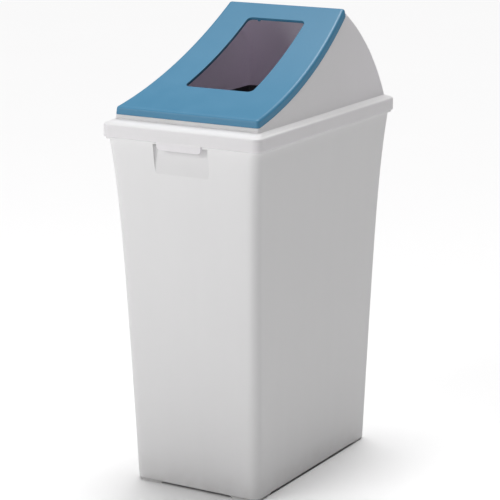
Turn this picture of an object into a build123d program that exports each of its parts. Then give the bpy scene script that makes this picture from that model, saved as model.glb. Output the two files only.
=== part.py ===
"""Slim recycling bin with a hinged hood lid and a coloured window panel.

Millimetres, +Z up, front towards -Y, left and right along X.
The origin is on the floor, under the centre of the lid's rim.
"""
from build123d import *
import os
from math import atan2, cos, sin, sqrt

# ---- Driving sizes -------------------------------------------------------------------
# Lid rim: the widest part of the bin
rim_width = 290.0
rim_depth = 461.0
rim_corner = 14.0
rim_edge_height = 580.5  # lower edge of the lid's skirt above the floor
skirt_height = 21.0
rim_edge_radius = 4.0
lid_wall = 2.3

# Body
base_width = 233.0
base_depth = 377.7
base_corner = 16.5
base_edge_radius = 2.0
body_wall = 2.6
floor_thickness = 3.0
wall_overhang = 5.3  # from the lid's skirt in to the top of the body wall
wall_top_corner = 18.0
flare = 7.7  # how far the straight wall line would fall short of the flared top
flare_power = 5.8
band_show = 4.0  # how much of the body's rim band shows below the skirt
shelf_thickness = 2.5
band_wall = 2.4
skirt_clearance = 0.9
land_margin = 1.0  # the flat under the rim runs this far inside the band
joint_overlap = 1.0  # how far a web or lug starts inside the wall it grows from

# Finger scoop in the front wall and the grip tab above it
scoop_width = 100.0
scoop_height = 48.0
scoop_depth = 8.5
scoop_run_out = 10.0  # the cut starts this far below the point where it meets the wall
scoop_edge_radius = 3.0
tab_width = 81.0
tab_drop = 12.5
tab_corner = 7.0
tab_setback = 0.8  # the tab's face lies this far behind the skirt's
tab_overlap = 2.0  # how far the tab runs up behind the skirt's edge

# Hood
hood_half_width = 134.0  # half width at hood_base_height
hood_base_height = 600.0
hood_draft = 0.155  # lean of the side walls, mm per mm of height
hood_back = 215.6
hood_bulge = 17.5  # how far the back bows out from a straight line
hood_back_corner = 8.0
ledge_rise = 5.0
crest_height = 755.2

# Window panel
panel_front = -207.6
panel_front_height = 625.6
panel_back = 112.9
panel_back_height = 764.8
panel_radius = 808.0
panel_wall = 2.4
panel_skirt = 12.0
panel_corner = 5.0  # rounds the panel's corners and its top edges
panel_clearance = 0.3
seat_width = 16.0  # flange of the hood that carries the panel
seat_thickness = 2.4
seat_corner = 1.0

# Opening in the panel
opening_front = -109.0
opening_back = 79.9
opening_front_width = 125.0
opening_back_width = 108.5
opening_corner = 9.0
lip_depth = 4.6
lip_wall = 2.2
lug_width = 4.0
lug_drop = 3.0
lug_place = -36.0

# Snap claws that hold the panel on its seat
claw_width = 14.0
claw_wall = 2.0
claw_hook = 1.5
claw_height = 2.2
claw_gap = 0.25
side_claws = 3

# Hinge
hinge_spacing = 160.0  # between the centres of the two hinges
hinge_behind_rim = 3.5  # axis behind the skirt
barrel_radius = 4.5
pin_radius = 2.0
pin_running_fit = 0.1
knuckle_width = 14.0
lug_thickness = 6.0
hinge_gap = 0.5
hinge_web_drop = 24.0
knuckle_rise = 13.5  # height of the web that joins a knuckle to the lid's skirt

# Feet
foot_height = 3.0
foot_width = 48.0
foot_depth = 45.0
foot_inset = 2.2
foot_corner = 8.0
peg_radius = 4.0
peg_height = 2.4
peg_spacing = 22.0

# ---- Sizes that follow --------------------------------------------------------------
wall_top = rim_edge_height - band_show
shelf_top = wall_top + shelf_thickness
top_width = rim_width - 2 * wall_overhang
top_depth = rim_depth - 2 * wall_overhang
band_inset = lid_wall + skirt_clearance
band_width = rim_width - 2 * band_inset
band_depth = rim_depth - 2 * band_inset
band_corner = rim_corner - band_inset
rim_top = rim_edge_height + skirt_height
rim_underside = rim_top - lid_wall
rim_land = band_wall + land_margin  # flat under the rim that rests on the body's band
ledge_top = rim_top + ledge_rise
draft_angle = atan2(hood_draft, 1)
wall_stations = [0.0, 0.25, 0.5, 0.7, 0.84, 0.93, 1.0]
pick_margin = 1.0  # an edge is picked only if its centre lies this far past the level named

# Centre of the panel's hollow arc, from its two ends and its radius
panel_run = panel_back - panel_front
panel_rise = panel_back_height - panel_front_height
panel_chord = sqrt(panel_run**2 + panel_rise**2)
panel_slope = atan2(panel_rise, panel_run)
arc_offset = sqrt(panel_radius**2 - panel_chord**2 / 4)
arc_y = (panel_front + panel_back) / 2 - arc_offset * sin(panel_slope)
arc_z = (panel_front_height + panel_back_height) / 2 + arc_offset * cos(panel_slope)

# Centre of the hood's back arc, from crest, foot and bulge
back_run = hood_back - panel_back
back_fall = crest_height - ledge_top
back_chord = sqrt(back_run**2 + back_fall**2)
back_radius = (back_chord**2 / 4 + hood_bulge**2) / (2 * hood_bulge)
back_angle = atan2(back_fall, back_run)
back_offset = back_radius - hood_bulge
back_y = (panel_back + hood_back) / 2 - back_offset * sin(back_angle)
back_z = (crest_height + ledge_top) / 2 - back_offset * cos(back_angle)

hinge_y = rim_depth / 2 + hinge_behind_rim
hinge_z = rim_edge_height
barrel_notch = barrel_radius + hinge_gap
corner_feet = {
    "foot_front_left": (-1, -1),
    "foot_front_right": (1, -1),
    "foot_back_left": (-1, 1),
    "foot_back_right": (1, 1),
}


# ---- Shapes that several pieces share -----------------------------------------------
def wall_size(height):
    """Outer width, depth and corner radius of the body wall at a height."""
    share = (height - foot_height) / (wall_top - foot_height)
    bow = 2 * flare * (share**flare_power - share)
    width = base_width + (top_width - base_width) * share + bow
    depth = base_depth + (top_depth - base_depth) * share + bow
    corner = base_corner + (wall_top_corner - base_corner) * share
    return width, depth, corner


def wall_section(height, inset):
    """Rounded rectangle of the body wall at a height, set in by inset."""
    width, depth, corner = wall_size(height)
    return rounded_plate(width - 2 * inset, depth - 2 * inset, corner - inset, height)


def rounded_plate(width, depth, corner, height, center_y=0.0):
    """Rounded rectangle about the bin's centre line at a height."""
    with BuildSketch(Plane.XY.offset(height)) as plate:
        with Locations((0, center_y)):
            RectangleRounded(width, depth, corner)
    return plate.sketch


def wall_depth(height):
    """Outer depth of the body wall at a height."""
    return wall_size(height)[1]


def arc_height(y, drop):
    """Height of the panel's arc at y, with the arc lowered square to itself by drop."""
    return arc_z - sqrt((panel_radius + drop) ** 2 - (y - arc_y) ** 2)


def back_height(y, inset):
    """Height of the hood's back arc at y, set in by inset."""
    return back_z + sqrt((back_radius - inset) ** 2 - (y - back_y) ** 2)


def band_profile(y_start, y_end, top_drop, bottom_drop):
    """Strip between two arcs that follow the panel, seen from the side."""
    y_middle = (y_start + y_end) / 2
    top = [(y, arc_height(y, top_drop)) for y in (y_start, y_middle, y_end)]
    bottom = [(y, arc_height(y, bottom_drop)) for y in (y_end, y_middle, y_start)]
    with BuildSketch(Plane.YZ) as profile:
        with BuildLine():
            ThreePointArc(*top)
            Line(top[-1], bottom[0])
            ThreePointArc(*bottom)
            Line(bottom[-1], top[0])
        make_face()
    return profile.sketch


def hood_profile(inset, seat_drop, step_y):
    """Side view of the hood: seat arc up to step_y, then the bowed back."""
    y_front = panel_front + inset
    y_foot = back_y + sqrt((back_radius - inset) ** 2 - (hood_base_height - back_z) ** 2)
    y_seat = (y_front + step_y) / 2
    y_bow = (step_y + y_foot) / 2
    with BuildSketch(Plane.YZ) as profile:
        with BuildLine():
            Line((y_foot, hood_base_height), (y_front, hood_base_height))
            Line((y_front, hood_base_height), (y_front, arc_height(y_front, seat_drop)))
            ThreePointArc(
                (y_front, arc_height(y_front, seat_drop)),
                (y_seat, arc_height(y_seat, seat_drop)),
                (step_y, arc_height(step_y, seat_drop)),
            )
            Line((step_y, arc_height(step_y, seat_drop)), (step_y, back_height(step_y, inset)))
            ThreePointArc(
                (step_y, back_height(step_y, inset)),
                (y_bow, back_height(y_bow, inset)),
                (y_foot, hood_base_height),
            )
        make_face()
    return profile.sketch


def drafted_sides(inset):
    """Leaning side walls of the hood, seen from the front, set in by inset."""
    low, high = hood_base_height - rim_top, 2 * crest_height - hood_base_height
    half = [hood_half_width - hood_draft * (z - hood_base_height) for z in (low, high)]
    half = [value - inset / cos(draft_angle) for value in half]
    with BuildSketch(Plane.XZ) as sides:
        with BuildLine():
            Polyline((-half[0], low), (half[0], low), (half[1], high), (-half[1], high), close=True)
        make_face()
    return sides.sketch


def drafted(profile, inset):
    """Side profile drawn out across the bin and cut by the leaning side walls."""
    with BuildPart() as block:
        extrude(profile, amount=rim_width, both=True)
        extrude(drafted_sides(inset), amount=rim_depth, both=True, mode=Mode.INTERSECT)
    return block.part


def barrel(x_start, width, radius):
    """Cylinder about the hinge axis."""
    with BuildPart() as cylinder:
        with BuildSketch(Plane.YZ.offset(x_start)):
            with Locations((hinge_y, hinge_z)):
                Circle(radius)
        extrude(amount=width)
    return cylinder.part


def foot_center(side, end):
    """Centre of one corner foot."""
    foot_x = side * (base_width / 2 - foot_inset - foot_width / 2)
    foot_y = end * (base_depth / 2 - foot_inset - foot_depth / 2)
    return foot_x, foot_y


def foot_pegs(side, end):
    """Outline of the two pegs that hold a foot in the floor."""
    foot_x, foot_y = foot_center(side, end)
    with BuildSketch(Plane.XY.offset(foot_height)) as pegs:
        with Locations((foot_x - peg_spacing / 2, foot_y), (foot_x + peg_spacing / 2, foot_y)):
            Circle(peg_radius)
    return pegs.sketch


# ---- Body ---------------------------------------------------------------------------
wall_heights = [foot_height + share * (wall_top - foot_height) for share in wall_stations]
floor_top = foot_height + floor_thickness
scoop_low = wall_top - scoop_height


def scoop_tool(grow):
    """Wedge of the finger scoop, deepest at the top and fading out below."""
    outside = -rim_depth
    above = wall_top + shelf_thickness
    floor_y = -top_depth / 2 + scoop_depth + grow
    fade_y = -wall_depth(scoop_low) / 2 + grow
    start_y = fade_y - (floor_y - fade_y) * scoop_run_out / scoop_height
    with BuildPart() as wedge:
        with BuildSketch(Plane.YZ):
            with BuildLine():
                Polyline(
                    (outside, scoop_low - scoop_run_out),
                    (start_y, scoop_low - scoop_run_out),
                    (floor_y, wall_top),
                    (floor_y, above),
                    (outside, above),
                    close=True,
                )
            make_face()
        extrude(amount=scoop_width / 2 + grow, both=True)
        floor_edges = wedge.edges().filter_by(lambda edge: edge.center().Y > outside / 2)
        side_edges = floor_edges.filter_by(lambda edge: abs(edge.center().X) > scoop_width / 4)
        fillet(side_edges.filter_by(lambda edge: edge.center().Z < wall_top), scoop_edge_radius)
    return wedge.part


def hinge_lugs():
    """Four lugs behind the rim band that hold the two hinge pins."""
    web_low = hinge_z - hinge_web_drop
    inner = knuckle_width / 2 + hinge_gap
    with BuildPart() as lugs:
        for hinge_x in (-hinge_spacing / 2, hinge_spacing / 2):
            for start in (hinge_x + inner, hinge_x - inner - lug_thickness):
                with BuildSketch(Plane.YZ.offset(start)):
                    with BuildLine():
                        Polyline(
                            (band_depth / 2 - joint_overlap, hinge_z + barrel_radius),
                            (hinge_y, hinge_z + barrel_radius),
                            (hinge_y + barrel_radius, hinge_z),
                            (wall_depth(web_low) / 2 - joint_overlap, web_low),
                            close=True,
                        )
                    make_face()
                    with Locations((hinge_y, hinge_z)):
                        Circle(barrel_radius)
                extrude(amount=lug_thickness)
    return lugs.part


inner_heights = [floor_top] + wall_heights[1:]
with BuildPart() as cavity:
    loft([wall_section(height, body_wall) for height in inner_heights])
    add(scoop_tool(body_wall), mode=Mode.SUBTRACT)

with BuildPart() as bin_body:
    loft([wall_section(height, 0) for height in wall_heights])
    fillet(bin_body.edges().group_by(Axis.Z)[0], base_edge_radius)
    add(scoop_tool(0), mode=Mode.SUBTRACT)
    add(cavity.part, mode=Mode.SUBTRACT)
    with BuildSketch(Plane.XY.offset(wall_top)):
        RectangleRounded(band_width, band_depth, band_corner)
        RectangleRounded(
            top_width - 2 * body_wall,
            top_depth - 2 * body_wall,
            wall_top_corner - body_wall,
            mode=Mode.SUBTRACT,
        )
        with Locations((0, -top_depth / 2 + (scoop_depth + body_wall) / 2)):
            Rectangle(scoop_width + 2 * body_wall, scoop_depth + body_wall)
    extrude(amount=shelf_thickness)
    with BuildSketch(Plane.XY.offset(shelf_top)):
        RectangleRounded(band_width, band_depth, band_corner)
        RectangleRounded(
            band_width - 2 * band_wall,
            band_depth - 2 * band_wall,
            band_corner - band_wall,
            mode=Mode.SUBTRACT,
        )
    extrude(amount=rim_underside - shelf_top)
    add(hinge_lugs())
    for hinge_x in (-hinge_spacing / 2, hinge_spacing / 2):
        pin_length = knuckle_width + 2 * (hinge_gap + lug_thickness)
        add(barrel(hinge_x - pin_length / 2, pin_length, pin_radius), mode=Mode.SUBTRACT)
    for side, end in corner_feet.values():
        extrude(foot_pegs(side, end), amount=floor_thickness, mode=Mode.SUBTRACT)
bin_body.part.label = "bin_body"


# ---- Feet ---------------------------------------------------------------------------
def corner_foot(side, end):
    """Flat pad under one corner, with two pegs up into the floor."""
    foot_x, foot_y = foot_center(side, end)
    with BuildPart() as foot:
        with BuildSketch():
            RectangleRounded(
                base_width - 2 * foot_inset, base_depth - 2 * foot_inset, base_corner - foot_inset
            )
        extrude(amount=foot_height)
        with BuildSketch():
            with Locations((foot_x + side * foot_corner, foot_y + end * foot_corner)):
                RectangleRounded(
                    foot_width + 2 * foot_corner, foot_depth + 2 * foot_corner, foot_corner
                )
        extrude(amount=foot_height, mode=Mode.INTERSECT)
        extrude(foot_pegs(side, end), amount=peg_height)
    return foot.part


# ---- Hinge pins ---------------------------------------------------------------------
def hinge_pin(hinge_x):
    """Plain pin through two body lugs and the lid knuckle between them."""
    pin_length = knuckle_width + 2 * (hinge_gap + lug_thickness)
    with BuildPart() as pin:
        add(barrel(hinge_x - pin_length / 2, pin_length, pin_radius))
        chamfer(pin.edges().filter_by(GeomType.CIRCLE), pin_radius / 5)
    return pin.part


# ---- Hood lid -----------------------------------------------------------------------
shoulder_drop = panel_skirt + panel_clearance
core_inset = panel_wall + panel_clearance
seat_inset = core_inset + seat_width
back_step = panel_back + panel_clearance
core_corner = panel_corner - panel_wall  # the core is rounded like the hollow that it fills
hood_foot_half = hood_half_width - hood_draft * (ledge_top - hood_base_height)
hood_foot_depth = hood_back - panel_front
hood_foot_y = (hood_back + panel_front) / 2


def rounded_hood(inset, seat_drop, step_y):
    """Hood solid below its shoulder, with rounded upright edges."""
    with BuildPart() as block:
        add(drafted(hood_profile(inset, seat_drop, step_y), inset))
        upright = block.edges().filter_by(lambda edge: abs(edge.center().X) > hood_half_width / 2)
        back_middle = (step_y + hood_back) / 2
        back_edges = upright.filter_by(lambda edge: edge.center().Y > back_middle - pick_margin)
        back_edges = back_edges.filter_by(
            lambda edge: edge.center().Z > hood_base_height + pick_margin
        )
        fillet(back_edges, hood_back_corner - inset)
        upright = block.edges().filter_by(lambda edge: abs(edge.center().X) > hood_half_width / 2)
        fillet(upright.sort_by(Axis.Y)[:2], panel_corner - inset)
    return block.part


def rounded_core(inset, top_drop, bottom_drop, corner, round_top=False):
    """Block that follows the panel, with rounded upright edges and, if asked, top edges."""
    strip = band_profile(panel_front + inset, panel_back - inset, top_drop, bottom_drop)
    with BuildPart() as core:
        add(drafted(strip, inset))
        upright = core.edges().filter_by(
            lambda edge: abs(edge.center().X) > hood_half_width / 2
            and edge.length < 2 * (bottom_drop - top_drop)
        )
        if round_top:
            broad_faces = core.faces().sort_by(SortBy.AREA)[-2:]
            upright = upright + broad_faces.sort_by(Axis.Z)[-1].edges()
        fillet(upright, corner)
    return core.part


hood_shell = rounded_hood(0, shoulder_drop, back_step)
hood_core = rounded_core(core_inset, panel_wall, shoulder_drop + lid_wall, core_corner, True)
hood_cavity = rounded_hood(lid_wall, shoulder_drop + lid_wall, back_step + lid_wall)
seat_cavity = rounded_core(
    core_inset + lid_wall, panel_wall + seat_thickness, shoulder_drop + 2 * lid_wall, seat_corner
)
seat_opening = rounded_core(seat_inset, -lid_wall, shoulder_drop, seat_corner)

with BuildPart() as lid_hood:
    extrude(rounded_plate(rim_width, rim_depth, rim_corner, rim_edge_height), amount=skirt_height)
    fillet(lid_hood.edges().group_by(Axis.Z)[-1], rim_edge_radius)
    loft(
        [
            rounded_plate(
                rim_width - 2 * rim_edge_radius,
                rim_depth - 2 * rim_edge_radius,
                rim_corner - rim_edge_radius,
                rim_top,
            ),
            rounded_plate(
                2 * hood_foot_half, hood_foot_depth, rim_corner - rim_edge_radius, ledge_top, hood_foot_y
            ),
        ]
    )
    add(hood_shell)
    add(hood_core)
    extrude(
        rounded_plate(
            rim_width - 2 * lid_wall, rim_depth - 2 * lid_wall, rim_corner - lid_wall, rim_edge_height
        ),
        amount=skirt_height - lid_wall,
        mode=Mode.SUBTRACT,
    )
    loft(
        [
            rounded_plate(
                band_width - 2 * rim_land,
                band_depth - 2 * rim_land,
                band_corner - rim_land,
                rim_underside,
            ),
            rounded_plate(
                2 * (hood_foot_half - lid_wall),
                hood_foot_depth - 2 * lid_wall,
                band_corner - rim_land,
                ledge_top - lid_wall,
                hood_foot_y,
            ),
        ],
        mode=Mode.SUBTRACT,
    )
    add(hood_cavity, mode=Mode.SUBTRACT)
    add(seat_cavity, mode=Mode.SUBTRACT)
    add(seat_opening, mode=Mode.SUBTRACT)
    # Grip tab below the middle of the front skirt
    with BuildSketch(Plane.XZ.offset(rim_depth / 2 - tab_setback)):
        with Locations((0, rim_edge_height)):
            RectangleRounded(tab_width, 2 * tab_drop, tab_corner)
        with Locations((0, rim_edge_height + tab_drop)):
            Rectangle(tab_width, 2 * (tab_drop - tab_overlap), mode=Mode.SUBTRACT)
    extrude(amount=tab_setback - lid_wall)
    # Notches for the body's hinge lugs, then the lid's own knuckles
    for hinge_x in (-hinge_spacing / 2, hinge_spacing / 2):
        notch_center = knuckle_width / 2 + hinge_gap + lug_thickness / 2
        with BuildSketch(Plane.XY.offset(rim_edge_height)):
            with Locations(
                (hinge_x - notch_center, rim_depth / 2 - lid_wall / 2),
                (hinge_x + notch_center, rim_depth / 2 - lid_wall / 2),
            ):
                Rectangle(lug_thickness + 2 * hinge_gap, 2 * lid_wall)
        extrude(amount=barrel_notch, mode=Mode.SUBTRACT)
        with BuildSketch(Plane.YZ.offset(hinge_x - knuckle_width / 2)):
            with BuildLine():
                Polyline(
                    (rim_depth / 2 - joint_overlap, hinge_z),
                    (rim_depth / 2 - joint_overlap, hinge_z + knuckle_rise),
                    (hinge_y + barrel_radius, hinge_z),
                    close=True,
                )
            make_face()
            with Locations((hinge_y, hinge_z)):
                Circle(barrel_radius)
        extrude(amount=knuckle_width)
        add(
            barrel(hinge_x - knuckle_width / 2, knuckle_width, pin_radius + pin_running_fit),
            mode=Mode.SUBTRACT,
        )
lid_hood.part.label = "lid_hood"


# ---- Window panel -------------------------------------------------------------------
opening_middle = (opening_front + opening_back) / 2
opening_slope = atan2(
    arc_height(opening_back, 0) - arc_height(opening_front, 0), opening_back - opening_front
)
opening_half = (opening_back - opening_front) / 2 / cos(opening_slope)
opening_plane = Plane(
    origin=(0, opening_middle, arc_height(opening_middle, 0)),
    x_dir=(1, 0, 0),
    z_dir=(0, -sin(opening_slope), cos(opening_slope)),
)
arc_sag = opening_half**2 / (2 * panel_radius)


def opening_shape(grow):
    """Opening that narrows upwards, on the plane square to the middle of the slope."""
    with BuildSketch(opening_plane) as shape:
        with BuildLine():
            Polyline(
                (-opening_front_width / 2, -opening_half),
                (opening_front_width / 2, -opening_half),
                (opening_back_width / 2, opening_half),
                (-opening_back_width / 2, opening_half),
                close=True,
            )
        make_face()
        fillet(shape.vertices(), opening_corner)
        if grow:
            offset(amount=grow)
    return shape.sketch


def opening_lip():
    """Lip turned down round the opening."""
    strip = band_profile(
        opening_front - panel_skirt, opening_back + panel_skirt, panel_wall / 2, lip_depth
    )
    with BuildPart() as lip:
        add(drafted(strip, core_inset))
        extrude(opening_shape(lip_wall), amount=panel_skirt * 2, both=True, mode=Mode.INTERSECT)
    return lip.part


def snap_claws(claw_y):
    """One claw on each side that hooks under the hood's seat."""
    ends = (claw_y - claw_width / 2, claw_y + claw_width / 2)
    hook_drop = panel_wall + seat_thickness + claw_gap
    inner = seat_inset + claw_gap + claw_wall
    leg = drafted(band_profile(*ends, panel_wall / 2, hook_drop + claw_height), seat_inset + claw_gap)
    hook = drafted(band_profile(*ends, hook_drop, hook_drop + claw_height), seat_inset - claw_hook)
    space = drafted(band_profile(*ends, 0, hook_drop + 2 * claw_height), inner)
    with BuildPart() as claws:
        add(leg)
        add(hook)
        add(space, mode=Mode.SUBTRACT)
    return claws.part


panel_block = rounded_core(0, 0, panel_skirt, panel_corner, True)
panel_hollow = rounded_core(panel_wall, panel_wall, panel_skirt * 2, core_corner, True)
claw_step = panel_run / (side_claws + 1)
claw_places = [panel_front + claw_step * (count + 1) for count in range(side_claws)]

with BuildPart() as window_panel:
    add(panel_block)
    add(panel_hollow, mode=Mode.SUBTRACT)
    add(opening_lip())
    with BuildSketch(opening_plane.offset(arc_sag - panel_wall)):
        with Locations((lug_place, opening_half + lip_wall / 2)):
            Rectangle(lug_width, lip_wall)
    extrude(amount=panel_wall - lip_depth - lug_drop)
    extrude(opening_shape(0), amount=panel_skirt * 2, both=True, mode=Mode.SUBTRACT)
    for claw_place in claw_places:
        add(snap_claws(claw_place))
window_panel.part.label = "window_panel"


# ---- Write every piece --------------------------------------------------------------
pieces = [bin_body.part, lid_hood.part, window_panel.part]
for foot_name, (foot_side, foot_end) in corner_feet.items():
    foot_part = corner_foot(foot_side, foot_end)
    foot_part.label = foot_name
    pieces.append(foot_part)
for pin_name, pin_side in (("hinge_pin_left", -1), ("hinge_pin_right", 1)):
    pin_part = hinge_pin(pin_side * hinge_spacing / 2)
    pin_part.label = pin_name
    pieces.append(pin_part)

os.makedirs("parts", exist_ok=True)
for piece in pieces:
    export_step(piece, f"parts/{piece.label}.step")
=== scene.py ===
"""Finishes and studio for the slim recycling bin: body, hood lid, window panel, hinges and feet."""

import math

import bpy
from bpy.props import FloatProperty, FloatVectorProperty, PointerProperty
from mathutils import Matrix, Vector


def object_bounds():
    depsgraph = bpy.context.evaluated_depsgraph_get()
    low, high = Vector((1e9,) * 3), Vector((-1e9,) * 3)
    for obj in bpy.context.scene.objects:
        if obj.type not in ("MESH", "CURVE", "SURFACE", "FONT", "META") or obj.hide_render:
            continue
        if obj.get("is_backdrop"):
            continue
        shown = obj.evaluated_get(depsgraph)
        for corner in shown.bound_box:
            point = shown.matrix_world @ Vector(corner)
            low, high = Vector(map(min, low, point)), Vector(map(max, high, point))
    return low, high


bl_info = {
    "name": "Slim recycling bin",
    "version": (1, 0, 0),
    "blender": (4, 5, 0),
    "location": "View3D > Sidebar > Bin",
    "description": "Moulded plastic finishes and a pale studio for a slim recycling bin",
    "category": "Object",
}

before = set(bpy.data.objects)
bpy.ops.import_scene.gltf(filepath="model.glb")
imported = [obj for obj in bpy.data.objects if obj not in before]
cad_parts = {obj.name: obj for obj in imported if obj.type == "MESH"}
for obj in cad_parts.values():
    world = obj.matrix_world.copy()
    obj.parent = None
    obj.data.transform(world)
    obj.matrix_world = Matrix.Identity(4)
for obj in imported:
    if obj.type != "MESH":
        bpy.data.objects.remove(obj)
FEET = ("foot_front_left", "foot_front_right", "foot_back_left", "foot_back_right")
PINS = ("hinge_pin_left", "hinge_pin_right")
SOCKET_GAP = 220  # spacing of the nodes in the shader editor
LIGHT_AIM = Vector((0.0, 0.0, 0.45))
OVERHEAD_PLACE = Vector((-0.15, 0.6, 3.3))
FRONT_PLACE = Vector((-0.7, -1.7, 1.25))
CAMERA_AIM = Vector((-0.0081, 0.0041, 0.3609))  # just below the middle of the bin
SENSOR_WIDTH = 36
LENS_SHIFT = (-0.0014, 0.001)
FAR_CLIP = 200

PLASTIC_IOR = 1.49
PIN_IOR = 1.48
MIDDLE_BAND = (0.3, 0.7)  # the part of a noise that is spread over the full change
RIPPLE_FINENESS = 3.2  # ripples across one pit of the grain
PIT_SHARE, RIPPLE_SHARE = 0.7, 0.5
FLOW_STRETCH = (34.0, 34.0, 2.4)  # long in the direction that the plastic flowed
CLOUD_SCALE = 5.5
SHADE_DARK, SHADE_PALE = 0.985, 1.01
SCRATCH_UP = (900.0, 900.0, 16.0)
SCRATCH_ACROSS = (22.0, 30.0, 760.0)
SCRATCH_PATCH_SCALE = 9.0
SCRATCH_TINT, SCRATCH_STRENGTH, SCRATCH_GLOSS = 0.86, 0.16, 0.08
EDGE_SAMPLES = 6
EDGE_BAND = (0.985, 0.9)  # from a flat wall to a clear edge
EDGE_BREAK_SCALE = 60.0
EDGE_GAIN, EDGE_LIFT = 1.06, 0.02
DUST_BREAK_SCALE, DUST_STRENGTH = 38.0, 0.22
# Painted shade in the body's cavity: ambient occlusion darkens the paint where the walls close in
PAINTED_SHADE_SAMPLES = 8
PAINTED_SHADE_BAND = (0.04, 0.3)  # from shut in on every side to open
PAINTED_SHADE_TINT = 0.06
PIN_RING_STRETCH = (5200.0, 60.0, 60.0)
PIN_RING_DEPTH = 0.00002


# ---- Sizes and colours ---------------------------------------------------------------
def colour(name, description, default):
    """A colour that the user can change."""
    return FloatVectorProperty(
        name=name, description=description, subtype="COLOR", size=3, min=0, max=1, default=default
    )


def share(name, description, default):
    """A number from 0 to 1 that the user can change."""
    return FloatProperty(
        name=name, description=description, subtype="FACTOR", min=0, max=1, default=default
    )


def length(name, description, default):
    """A length that the user can change."""
    return FloatProperty(
        name=name, description=description, unit="LENGTH", min=0, precision=5, default=default
    )


class BinFinish(bpy.types.PropertyGroup):
    """Colours and surface of the moulded parts."""

    body_colour: colour("Body", "Colour of the body's plastic", (0.745, 0.742, 0.745))
    hood_colour: colour("Hood", "Colour of the hood lid's plastic", (0.94, 0.945, 0.93))
    panel_colour: colour("Panel", "Colour of the window panel's plastic", (0.064, 0.235, 0.39))
    foot_colour: colour("Feet", "Colour of the corner feet", (0.74, 0.735, 0.73))
    pin_colour: colour("Pins", "Colour of the hinge pins", (0.72, 0.72, 0.72))
    dust_colour: colour("Dust", "Colour of the dust low on the body", (0.42, 0.39, 0.35))
    body_roughness: share("Body roughness", "Roughness of the body and feet", 0.5)
    hood_roughness: share("Hood roughness", "Roughness of the hood lid", 0.46)
    panel_roughness: share("Panel roughness", "Roughness of the window panel", 0.42)
    glow: share("Glow", "Share of light that comes through the hood's thin wall", 0.25)
    glow_colour: colour("Glow colour", "Colour of the light through the hood", (0.92, 0.82, 0.97))
    # Reach of the ambient occlusion that paints shade into the body's cavity
    painted_shade_reach: length("Cavity reach", "How far a wall looks for the other walls of the cavity", 0.6)
    wear: share("Wear", "How much the edges are rubbed", 0.35)
    grain_size: length("Grain size", "Width of one pit of the moulded grain", 0.0011)
    grain_depth: length("Grain depth", "Depth of the moulded grain", 0.00006)
    edge_radius: length("Edge radius", "Softness of the small edges", 0.0007)
    dust_height: length("Dust height", "Height that floor dust reaches up the body", 0.045)


class BinStage(bpy.types.PropertyGroup):
    """Floor, light and camera."""

    floor_colour: colour("Floor", "Colour of the studio floor", (0.93, 0.93, 0.93))
    floor_size: length("Floor size", "Width and length of the floor", 60.0)
    sky_colour: colour("Sky colour", "Colour of the even light from all round", (1.0, 0.94, 0.97))
    sky_strength: FloatProperty(
        name="Sky", description="Brightness of the even light from all round", min=0, default=0.05
    )
    overhead_strength: FloatProperty(
        name="Overhead light", description="Strength of the broad light above", min=0, default=3.2
    )
    overhead_softness: FloatProperty(
        name="Softness", description="Width of the broad light above", subtype="ANGLE", default=0.7
    )
    front_power: FloatProperty(
        name="Front light", description="Watts of the soft box in front", min=0, default=14.0
    )
    front_size: length("Front light size", "Width of the soft box in front", 1.0)
    azimuth: FloatProperty(
        name="Azimuth", description="Camera round the bin from the front", subtype="ANGLE",
        default=math.radians(30.536),
    )
    elevation: FloatProperty(
        name="Elevation", description="Camera above the level", subtype="ANGLE",
        default=math.radians(13.849),
    )
    roll: FloatProperty(
        name="Roll", description="Camera's turn about its own line", subtype="ANGLE",
        default=math.radians(-0.107),
    )
    distance: length("Distance", "Camera from the point that it looks at", 3.3602)
    lens: FloatProperty(
        name="Lens", description="Focal length on a 36 mm sensor", subtype="DISTANCE_CAMERA",
        default=144.93,
    )


# ---- Node helpers --------------------------------------------------------------------
class Recipe:
    """A material's node tree, built one node at a time from left to right."""

    def __init__(self, name):
        self.material = bpy.data.materials.new(name)
        self.material.use_nodes = True
        self.tree = self.material.node_tree
        self.tree.nodes.clear()
        self.count = 0

    def add(self, kind, settings=None, **inputs):
        """A node with its settings and inputs. An input is a number, a colour or a socket."""
        made = self.tree.nodes.new("ShaderNode" + kind)
        made.location = (self.count * SOCKET_GAP, 0)
        self.count += 1
        for key, value in (settings or {}).items():
            setattr(made, key, value)
        for key, value in inputs.items():
            where = int(key[1:]) if key[0] == "i" and key[1:].isdigit() else key.replace("_", " ")
            if isinstance(value, bpy.types.NodeSocket):
                self.tree.links.new(value, made.inputs[where])
            else:
                made.inputs[where].default_value = value
        return made

    def math(self, operation, a, b=0.0, clamp=False):
        """The result of one sum on two numbers or sockets."""
        settings = {"operation": operation, "use_clamp": clamp}
        return self.add("Math", settings, i0=a, i1=b).outputs[0]

    def noise(self, where, scale, detail=2.0, stretch=None):
        """Noise from 0 to 1, with stretch as the scale along each axis."""
        if stretch:
            where = self.add("Mapping", Vector=where, Scale=stretch).outputs[0]
        return self.add("TexNoise", Vector=where, Scale=scale, Detail=detail).outputs[0]

    def span(self, value, low, high, start=0.0, end=1.0):
        """A value spread from low..high to start..end and held there."""
        made = self.add(
            "MapRange", Value=value, From_Min=low, From_Max=high, To_Min=start, To_Max=end
        )
        return made.outputs[0]

    def mix(self, factor, first, second, blend="MIX"):
        """Two colours mixed by a factor."""
        made = self.add("Mix", {"data_type": "RGBA", "blend_type": blend}, i0=factor)
        for socket, value in ((6, first), (7, second)):
            if isinstance(value, bpy.types.NodeSocket):
                self.tree.links.new(value, made.inputs[socket])
            else:
                made.inputs[socket].default_value = (*value, 1.0)
        return made.outputs[2]

    def close(self, shader):
        """The finished material."""
        self.add("OutputMaterial", Surface=shader.outputs[0])
        return self.material


def dress(node, material):
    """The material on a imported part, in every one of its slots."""
    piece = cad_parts[node]
    if not piece.material_slots:
        piece.data.materials.append(material)
    for held in piece.material_slots:
        held.material = material


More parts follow.
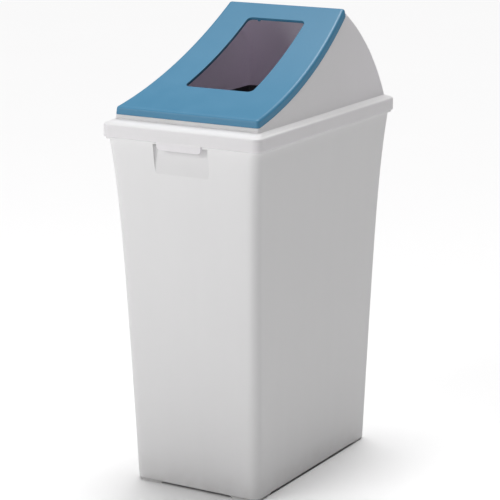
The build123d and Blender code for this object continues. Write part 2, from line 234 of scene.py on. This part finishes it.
# ---- Finishes ------------------------------------------------------------------------
def mould_grain(recipe, where, finish):
    """Height of the pitted grain from the mould, with finer ripples over it."""
    pits = recipe.add(
        "TexVoronoi", {"feature": "SMOOTH_F1"}, Vector=where, Scale=1 / finish.grain_size
    ).outputs["Distance"]
    ripple = recipe.noise(where, RIPPLE_FINENESS / finish.grain_size, 3.0)
    pits = recipe.math("MULTIPLY", pits, PIT_SHARE)
    return recipe.math("ADD", pits, recipe.math("MULTIPLY", ripple, RIPPLE_SHARE))


def flow_shade(recipe, where):
    """Flow marks that run up the wall and slow clouds, from -1 to 1."""
    flow = recipe.noise(where, 1.0, 4.0, FLOW_STRETCH)
    clouds = recipe.noise(where, CLOUD_SCALE, 3.0)
    flow = recipe.span(flow, *MIDDLE_BAND, -0.5, 0.5)
    return recipe.math("ADD", flow, recipe.span(clouds, *MIDDLE_BAND, -0.5, 0.5))


def fine_scratches(recipe, where):
    """Hair-fine scratches from use in two directions, in patches."""
    first = recipe.noise(where, 1.0, 6.0, SCRATCH_UP)
    second = recipe.noise(where, 1.0, 6.0, SCRATCH_ACROSS)
    patch = recipe.span(recipe.noise(where, SCRATCH_PATCH_SCALE, 2.0), 0.52, 0.7)
    first = recipe.span(first, 0.66, 0.74)
    second = recipe.span(second, 0.68, 0.76)
    return recipe.math("MULTIPLY", recipe.math("MAXIMUM", first, second), patch)


def rubbed_edges(recipe, where, soft, wear):
    """Share of wear, which is only on the small edges."""
    hard = recipe.add("NewGeometry").outputs["Normal"]
    facing = recipe.add("VectorMath", {"operation": "DOT_PRODUCT"}, i0=soft, i1=hard)
    edges = recipe.math("MULTIPLY", recipe.span(facing.outputs["Value"], *EDGE_BAND), wear)
    broken = recipe.span(recipe.noise(where, EDGE_BREAK_SCALE, 3.0), 0.4, 0.6)
    return recipe.math("MULTIPLY", edges, broken)


def floor_dust(recipe, where, height):
    """Share of floor dust, thickest at the foot and broken up by noise."""
    level = recipe.add("SeparateXYZ", Vector=where).outputs["Z"]
    broken = recipe.span(recipe.noise(where, DUST_BREAK_SCALE, 5.0), 0.35, 0.75)
    dust = recipe.math("MULTIPLY", recipe.span(level, height, 0.0), broken)
    return recipe.math("MULTIPLY", dust, DUST_STRENGTH)


def moulded_plastic(name, tint, roughness, gloss_change, dusty=False, glow=0.0, paint_cavity_shade=False):
    """Satin moulded polypropylene, with dust, light through the wall, or painted shade darkening a
    cavity if asked.
    """
    finish = bpy.context.scene.bin_finish
    tint = Vector(tint)
    recipe = Recipe(name)
    where = recipe.add("TexCoord").outputs["Object"]
    soft = recipe.add("Bevel", {"samples": EDGE_SAMPLES}, Radius=finish.edge_radius).outputs[0]

    height = mould_grain(recipe, where, finish)
    shade = flow_shade(recipe, where)
    scratch = fine_scratches(recipe, where)
    paint = recipe.mix(
        recipe.span(shade, -1.0, 1.0), tuple(tint * SHADE_DARK), tuple(tint * SHADE_PALE)
    )
    paint = recipe.mix(
        recipe.math("MULTIPLY", scratch, SCRATCH_STRENGTH), paint, tuple(tint * SCRATCH_TINT)
    )
    pale = tuple(min(1.0, part * EDGE_GAIN + EDGE_LIFT) for part in tint)
    paint = recipe.mix(rubbed_edges(recipe, where, soft, finish.wear), paint, pale)
    if dusty:
        dust = floor_dust(recipe, where, finish.dust_height)
        paint = recipe.mix(dust, paint, tuple(finish.dust_colour))
    if paint_cavity_shade:
        # Painted shade: an ambient occlusion node darkens the paint deep in the closed cavity, so the
        # inside is darker than light alone makes it
        cavity_occlusion = recipe.add(
            "AmbientOcclusion", {"samples": PAINTED_SHADE_SAMPLES}, Distance=finish.painted_shade_reach
        )
        unshaded_share = recipe.span(cavity_occlusion.outputs["AO"], *PAINTED_SHADE_BAND)
        paint = recipe.mix(unshaded_share, tuple(tint * PAINTED_SHADE_TINT), paint)

    rough = recipe.span(shade, -1.0, 1.0, roughness - gloss_change, roughness + gloss_change)
    polish = recipe.math("MULTIPLY", scratch, SCRATCH_GLOSS)
    rough = recipe.math("SUBTRACT", rough, polish, clamp=True)
    bump = recipe.add(
        "Bump", Strength=1.0, Distance=finish.grain_depth, Height=height, Normal=soft
    ).outputs[0]
    shader = recipe.add(
        "BsdfPrincipled", Base_Color=paint, Roughness=rough, Normal=bump, IOR=PLASTIC_IOR
    )
    if glow:
        # Daylight comes through the thin wall
        through = recipe.add("BsdfTranslucent", Color=(*finish.glow_colour, 1.0))
        shader = recipe.add("MixShader", i0=glow, i1=shader.outputs[0], i2=through.outputs[0])
    return recipe.close(shader)


def turned_pin(name, tint):
    """Smooth acetal rod with faint rings from the lathe."""
    recipe = Recipe(name)
    where = recipe.add("TexCoord").outputs["Object"]
    rings = recipe.noise(where, 1.0, 3.0, PIN_RING_STRETCH)
    tint = Vector(tint)
    paint = recipe.mix(recipe.span(rings, *MIDDLE_BAND), tuple(tint * 0.94), tuple(tint))
    rough = recipe.span(rings, *MIDDLE_BAND, 0.24, 0.34)
    bump = recipe.add("Bump", Strength=0.6, Distance=PIN_RING_DEPTH, Height=rings).outputs[0]
    shader = recipe.add(
        "BsdfPrincipled", Base_Color=paint, Roughness=rough, Normal=bump, IOR=PIN_IOR
    )
    return recipe.close(shader)


def studio_floor(name, tint):
    """Matt pale floor with hardly any mottle."""
    recipe = Recipe(name)
    where = recipe.add("TexCoord").outputs["Object"]
    tint = Vector(tint)
    cloud = recipe.noise(where, 0.9, 4.0)
    paint = recipe.mix(recipe.span(cloud, *MIDDLE_BAND), tuple(tint * 0.992), tuple(tint))
    shader = recipe.add("BsdfPrincipled", Base_Color=paint, Roughness=0.9)
    shader.inputs["Specular IOR Level"].default_value = 0.1
    return recipe.close(shader)


# ---- Operators -----------------------------------------------------------------------
class BIN_OT_body(bpy.types.Operator):
    """Finish the tapered body with dusty off-white plastic, with painted shade darkening its cavity.
    """

    bl_idname = "bin.body"
    bl_label = "Body"

    def execute(self, context):
        finish = context.scene.bin_finish
        # The body's paint is darkened inside its cavity as painted shade
        plastic = moulded_plastic(
            "body plastic", finish.body_colour, finish.body_roughness, 0.04, dusty=True, paint_cavity_shade=True
        )
        dress("bin_body", plastic)
        return {"FINISHED"}


class BIN_OT_hood(bpy.types.Operator):
    """Finish the hood lid with off-white plastic."""

    bl_idname = "bin.hood"
    bl_label = "Hood lid"

    def execute(self, context):
        finish = context.scene.bin_finish
        plastic = moulded_plastic(
            "hood plastic", finish.hood_colour, finish.hood_roughness, 0.04, glow=finish.glow
        )
        dress("lid_hood", plastic)
        return {"FINISHED"}


class BIN_OT_panel(bpy.types.Operator):
    """Finish the window panel with coloured plastic."""

    bl_idname = "bin.panel"
    bl_label = "Window panel"

    def execute(self, context):
        finish = context.scene.bin_finish
        plastic = moulded_plastic("panel plastic", finish.panel_colour, finish.panel_roughness, 0.05)
        dress("window_panel", plastic)
        return {"FINISHED"}


class BIN_OT_feet(bpy.types.Operator):
    """Finish the four corner feet."""

    bl_idname = "bin.feet"
    bl_label = "Corner feet"

    def execute(self, context):
        finish = context.scene.bin_finish
        plastic = moulded_plastic(
            "foot plastic", finish.foot_colour, finish.body_roughness, 0.06, dusty=True
        )
        for foot in FEET:
            dress(foot, plastic)
        return {"FINISHED"}


class BIN_OT_pins(bpy.types.Operator):
    """Finish the two hinge pins."""

    bl_idname = "bin.pins"
    bl_label = "Hinge pins"

    def execute(self, context):
        plastic = turned_pin("pin plastic", context.scene.bin_finish.pin_colour)
        for pin in PINS:
            dress(pin, plastic)
        return {"FINISHED"}


class BIN_OT_stage(bpy.types.Operator):
    """Make the pale floor, the soft lights and the camera."""

    bl_idname = "bin.stage"
    bl_label = "Stage"

    def execute(self, context):
        scene = context.scene
        stage = scene.bin_stage
        low = Vector(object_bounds()[0])

        floor_mesh = bpy.data.meshes.new("studio_floor")
        reach = stage.floor_size / 2
        corners = [(x * reach, y * reach, low.z) for x, y in ((-1, -1), (1, -1), (1, 1), (-1, 1))]
        floor_mesh.from_pydata(corners, [], [(0, 1, 2, 3)])
        floor = bpy.data.objects.new("studio_floor", floor_mesh)
        floor_mesh.materials.append(studio_floor("studio floor", stage.floor_colour))
        scene.collection.objects.link(floor)
        floor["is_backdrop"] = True

        world = bpy.data.worlds.new("studio sky")
        world.use_nodes = True
        sky = (*stage.sky_colour, 1.0)
        world.node_tree.nodes["Background"].inputs["Color"].default_value = sky
        world.node_tree.nodes["Background"].inputs["Strength"].default_value = stage.sky_strength
        scene.world = world

        above_bin = bpy.data.lights.new("overhead_light", "SUN")
        above_bin.energy = stage.overhead_strength
        above_bin.angle = stage.overhead_softness
        soft_box = bpy.data.lights.new("front_light", "AREA")
        soft_box.energy = stage.front_power
        soft_box.size = stage.front_size
        for light, place in ((above_bin, OVERHEAD_PLACE), (soft_box, FRONT_PLACE)):
            lamp = bpy.data.objects.new(light.name, light)
            lamp.location = place
            lamp.rotation_euler = (place - LIGHT_AIM).to_track_quat("Z", "Y").to_euler()
            scene.collection.objects.link(lamp)

        # The camera's own axes
        around, above = stage.azimuth, stage.elevation
        back = Vector((
            math.sin(around) * math.cos(above), -math.cos(around) * math.cos(above), math.sin(above)
        ))
        right = Vector((math.cos(around), math.sin(around), 0))
        up = back.cross(right)
        turned_right = right * math.cos(stage.roll) + up * math.sin(stage.roll)
        turned_up = up * math.cos(stage.roll) - right * math.sin(stage.roll)
        place = CAMERA_AIM + back * stage.distance
        lens = bpy.data.cameras.new("studio_camera")
        lens.lens = stage.lens
        lens.sensor_width = SENSOR_WIDTH
        lens.shift_x, lens.shift_y = LENS_SHIFT
        lens.clip_end = FAR_CLIP
        camera = bpy.data.objects.new("studio_camera", lens)
        axes = Matrix((turned_right, turned_up, back)).transposed().to_4x4()
        camera.matrix_world = Matrix.Translation(place) @ axes
        scene.collection.objects.link(camera)
        scene.camera = camera
        scene.view_settings.view_transform = "Standard"
        return {"FINISHED"}


class BIN_PT_sidebar(bpy.types.Panel):
    """Lists the bin's finishes and the stage."""

    bl_idname = "BIN_PT_sidebar"
    bl_label = "Recycling bin"
    bl_space_type = "VIEW_3D"
    bl_region_type = "UI"
    bl_category = "Bin"

    def draw(self, context):
        layout = self.layout
        for settings, makers in (
            (context.scene.bin_finish, MAKERS[:-1]),
            (context.scene.bin_stage, MAKERS[-1:]),
        ):
            column = layout.column(align=True)
            for name in settings.bl_rna.properties.keys():
                if name not in ("rna_type", "name"):
                    column.prop(settings, name)
            for maker in makers:
                column.operator(maker.bl_idname)


MAKERS = (BIN_OT_body, BIN_OT_hood, BIN_OT_panel, BIN_OT_feet, BIN_OT_pins, BIN_OT_stage)
CLASSES = (BinFinish, BinStage, *MAKERS, BIN_PT_sidebar)


def register():
    for item in CLASSES:
        bpy.utils.register_class(item)
    bpy.types.Scene.bin_finish = PointerProperty(type=BinFinish)
    bpy.types.Scene.bin_stage = PointerProperty(type=BinStage)


def unregister():
    del bpy.types.Scene.bin_stage
    del bpy.types.Scene.bin_finish
    for item in reversed(CLASSES):
        bpy.utils.unregister_class(item)


def main():
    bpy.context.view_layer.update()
    register()
    bpy.ops.bin.body()
    bpy.ops.bin.hood()
    bpy.ops.bin.panel()
    bpy.ops.bin.feet()
    bpy.ops.bin.pins()
    bpy.ops.bin.stage()


if __name__ == "__main__":
    main()
